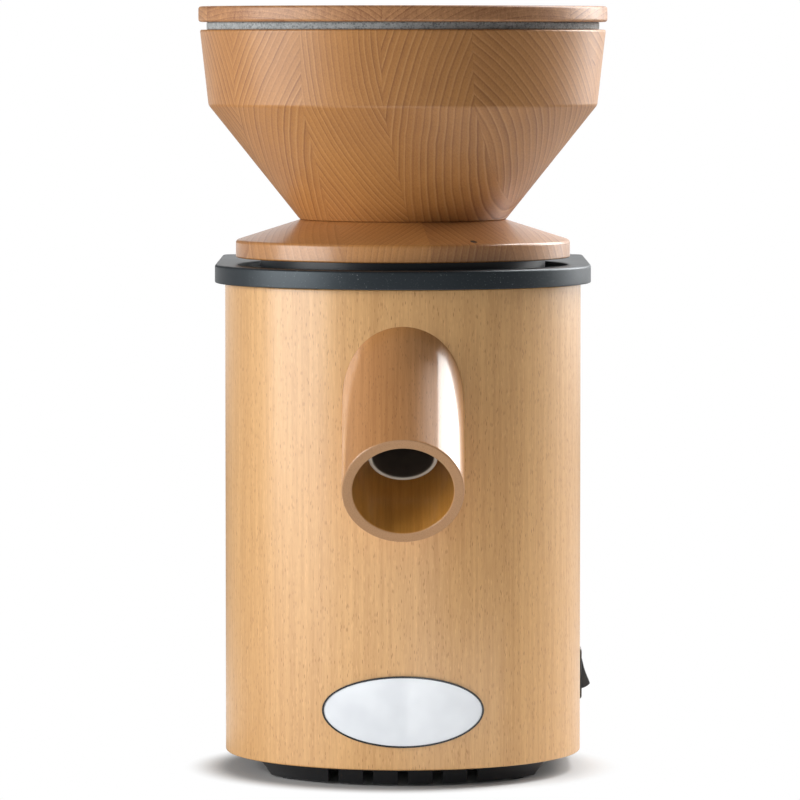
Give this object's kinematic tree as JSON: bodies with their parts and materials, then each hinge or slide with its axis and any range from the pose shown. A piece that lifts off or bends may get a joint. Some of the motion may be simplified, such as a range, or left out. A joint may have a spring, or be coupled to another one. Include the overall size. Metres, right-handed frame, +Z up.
{
  "type": "electric grain mill",
  "caption": "Electric stone grain mill: round-fronted beech body with slanted wooden spout, turning beech hopper with lid, dark top plate, oval badge and side rocker switch.",
  "frame": {"origin": "on the drive axis at the level of the table that the feet stand on", "axes": "+Z up along the drive axis, -Y to the front where the spout is, +X to the side with the switch"},
  "size_m": [0.2036, 0.28, 0.3803],
  "materials": {
    "beech_body": "satin lacquered beech with upright grain and short dark flecks",
    "beech_hopper": "satin lacquered beech, turned from glued segments",
    "beech_lid": "satin lacquered beech, redder than the hopper",
    "beech_spout": "satin lacquered beech with grain along the spout",
    "grey_felt": "pressed wool felt",
    "slate_plastic": "dark slate plastic with a fine sparkle",
    "white_plastic": "food-safe moulded plastic",
    "ceramic_stone": "corundum bonded in ceramic, rough",
    "cast_aluminium": "die cast, plain",
    "lamination_steel": "stacked sheet",
    "copper": "enamelled copper wire, bound",
    "brass_terminals": "stamped",
    "rubber_black": "moulded",
    "black_plastic": "moulded",
    "switch_black": "moulded, semi-gloss",
    "gloss_black": "moulded, glossy",
    "badge_silver": "bright satin foil",
    "badge_black": "printed",
    "zinc_steel": "zinc plated"
  },
  "bodies": {
    "root": {"housing_shell": "beech_body", "back_panel": "beech_body", "back_panel_screws": "zinc_steel", "top_plate": "slate_plastic", "plate_screws": "zinc_steel", "grinding_chamber": "white_plastic", "chamber_screws": "zinc_steel", "backlash_springs": "zinc_steel", "shaft_seal": "rubber_black", "spout_tube": "beech_spout", "outlet_liner": "white_plastic", "motor_upper_shield": "cast_aluminium", "motor_lower_shield": "cast_aluminium", "motor_mount_screws": "zinc_steel", "motor_tie_bolts": "zinc_steel", "stator_core": "lamination_steel", "stator_windings": "copper", "bearing_outer_rings": "zinc_steel", "run_capacitor": "cast_aluminium", "capacitor_clamp": "black_plastic", "terminal_block": "white_plastic", "cable_gland": "black_plastic", "gland_nut": "black_plastic", "switch_housing": "switch_black", "switch_terminals": "brass_terminals", "badge_plate": "badge_silver", "badge_rim": "badge_black", "base_tray": "gloss_black", "base_screws": "zinc_steel", "rubber_feet": "rubber_black"},
    "rotor": {"motor_shaft": "zinc_steel", "rotor_core": "lamination_steel", "rotor_end_rings": "cast_aluminium", "cooling_fan": "black_plastic", "bearing_inner_rings": "zinc_steel", "bearing_balls": "zinc_steel", "lower_stone_hub": "cast_aluminium", "lower_stone": "ceramic_stone", "hub_nut": "zinc_steel"},
    "stone_carrier": {"upper_stone_carrier": "white_plastic", "upper_stone": "ceramic_stone", "stone_screws": "zinc_steel"},
    "hopper": {"hopper_bowl": "beech_hopper", "hopper_base": "beech_hopper", "adjusting_ring": "slate_plastic", "feed_tube": "white_plastic", "finger_guard": "white_plastic", "setting_dot": "badge_black", "ring_screws": "zinc_steel", "hopper_screws": "zinc_steel"},
    "lid": {"lid_disc": "beech_lid", "lid_felt_ring": "grey_felt"},
    "rocker": {"switch_rocker": "switch_black"}
  },
  "joints": [
    {"name": "stone_lift", "type": "slide", "parent": "root", "child": "stone_carrier", "axis": [0, 0, 1], "range_m": [0, 0.0028], "deforming": ["backlash_springs"]},
    {"name": "hopper_turn", "type": "hinge", "parent": "stone_carrier", "child": "hopper", "pos_m": [0, 0, 0.26], "axis": [0, 0, 1], "range_deg": [0, 330]},
    {"name": "lid_lift", "type": "slide", "parent": "hopper", "child": "lid", "axis": [0, 0, 1], "range_m": [0, 0.06]},
    {"name": "rotor_spin", "type": "hinge", "parent": "root", "child": "rotor", "pos_m": [0, 0, 0.1], "axis": [0, 0, 1], "continuous": true},
    {"name": "rocker_tilt", "type": "hinge", "parent": "root", "child": "rocker", "pos_m": [0.0897, 0.06, 0.0408], "axis": [0, 1, 0], "range_deg": [0, 36]}
  ],
  "couplings": [
    {"joint": "stone_lift", "follows": "hopper_turn", "m_per_rad": 0.00047746}
  ]
}
